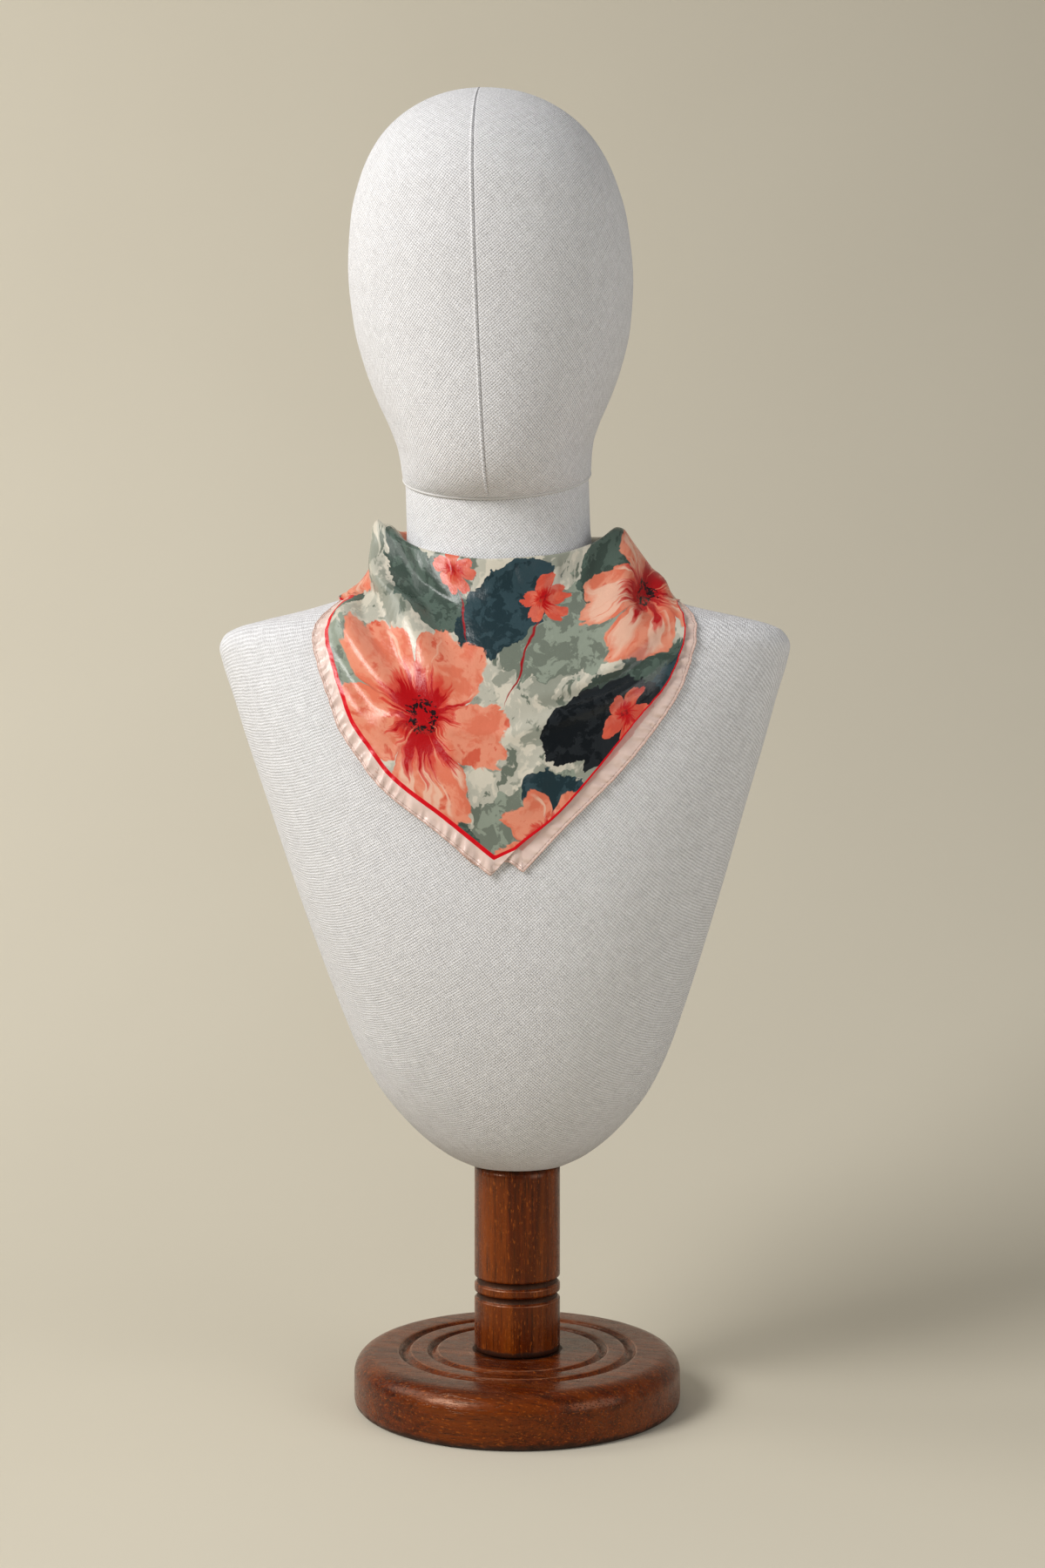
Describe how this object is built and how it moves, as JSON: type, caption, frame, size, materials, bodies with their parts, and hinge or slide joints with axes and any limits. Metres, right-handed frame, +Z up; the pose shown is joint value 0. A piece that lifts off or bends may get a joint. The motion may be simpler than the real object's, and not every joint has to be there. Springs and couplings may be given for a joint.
{
  "type": "silk square scarf on a linen head-and-shoulder display form with a wooden stand",
  "caption": "floral silk square with a pale border, folded corner to corner and tied at the nape of a plain linen head and bust form on a turned wooden post and round base",
  "frame": {"origin": "centre of the flat underside of the round base, on the axis of the turned post", "axes": "+Z up from the base to the crown of the head, -Y towards the front of the form, +X to its left-hand side, the viewer's right"},
  "size_m": [0.312, 0.1908, 0.7102],
  "materials": {
    "silk_upper": "satin-faced printed silk with a soft sheen",
    "silk_under": "satin-faced printed silk with a soft sheen",
    "silk_knot": "gathered printed silk",
    "linen_bust": "matt fine plain-woven linen cover",
    "linen_head": "matt fine linen cover cut on the bias",
    "wood_post": "red-brown stain under satin varnish",
    "wood_base": "red-brown stain under satin varnish, worn at the edges"
  },
  "bodies": {
    "root": {"scarf_upper_layer": "silk_upper", "scarf_under_layer": "silk_under", "scarf_knot": "silk_knot", "scarf_tail_left": "silk_knot", "scarf_tail_right": "silk_knot", "bust_form": "linen_bust", "head_form": "linen_head", "stand_post": "wood_post", "stand_base": "wood_base"}
  },
  "joints": []
}
